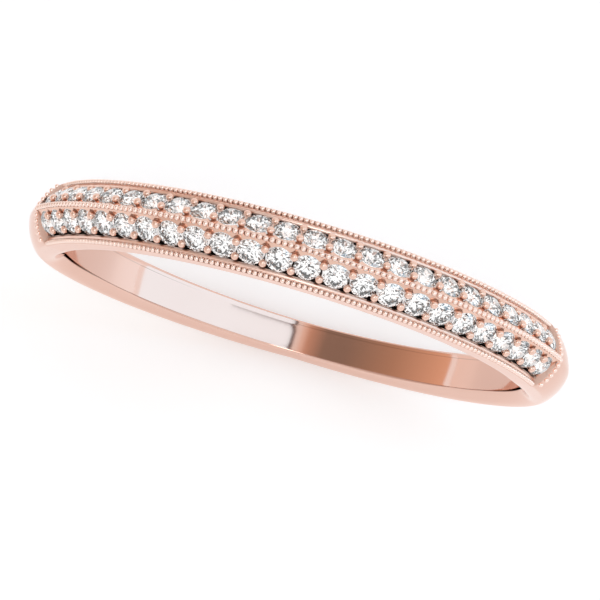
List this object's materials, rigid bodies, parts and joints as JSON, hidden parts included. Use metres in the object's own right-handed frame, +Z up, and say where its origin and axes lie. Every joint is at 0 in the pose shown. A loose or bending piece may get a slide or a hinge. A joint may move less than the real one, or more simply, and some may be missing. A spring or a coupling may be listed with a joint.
{
  "type": "wedding band",
  "caption": "Slim rose gold ring with two rows of small round diamonds under a beaded knife-edge ridge, beaded edges and a plain tapering shank.",
  "frame": {"origin": "centre of the finger bore, on its axis and halfway across the band", "axes": "+Y along the bore, +Z up through the middle of the arc of stones, +X to the right of a viewer who looks along +Y"},
  "size_m": [0.0202, 0.0024, 0.0203],
  "materials": {
    "rose_gold": "mirror-polished 14 carat rose gold",
    "diamond": "polished colourless brilliant-cut diamond"
  },
  "bodies": {
    "root": {"band": "rose_gold", "diamond_front_01": "diamond", "diamond_front_02": "diamond", "diamond_front_03": "diamond", "diamond_front_04": "diamond", "diamond_front_05": "diamond", "diamond_front_06": "diamond", "diamond_front_07": "diamond", "diamond_front_08": "diamond", "diamond_front_09": "diamond", "diamond_front_10": "diamond", "diamond_front_11": "diamond", "diamond_front_12": "diamond", "diamond_front_13": "diamond", "diamond_front_14": "diamond", "diamond_front_15": "diamond", "diamond_front_16": "diamond", "diamond_front_17": "diamond", "diamond_front_18": "diamond", "diamond_front_19": "diamond", "diamond_front_20": "diamond", "diamond_front_21": "diamond", "diamond_front_22": "diamond", "diamond_front_23": "diamond", "diamond_front_24": "diamond", "diamond_back_01": "diamond", "diamond_back_02": "diamond", "diamond_back_03": "diamond", "diamond_back_04": "diamond", "diamond_back_05": "diamond", "diamond_back_06": "diamond", "diamond_back_07": "diamond", "diamond_back_08": "diamond", "diamond_back_09": "diamond", "diamond_back_10": "diamond", "diamond_back_11": "diamond", "diamond_back_12": "diamond", "diamond_back_13": "diamond", "diamond_back_14": "diamond", "diamond_back_15": "diamond", "diamond_back_16": "diamond", "diamond_back_17": "diamond", "diamond_back_18": "diamond", "diamond_back_19": "diamond", "diamond_back_20": "diamond", "diamond_back_21": "diamond", "diamond_back_22": "diamond", "diamond_back_23": "diamond", "diamond_back_24": "diamond"}
  },
  "joints": []
}
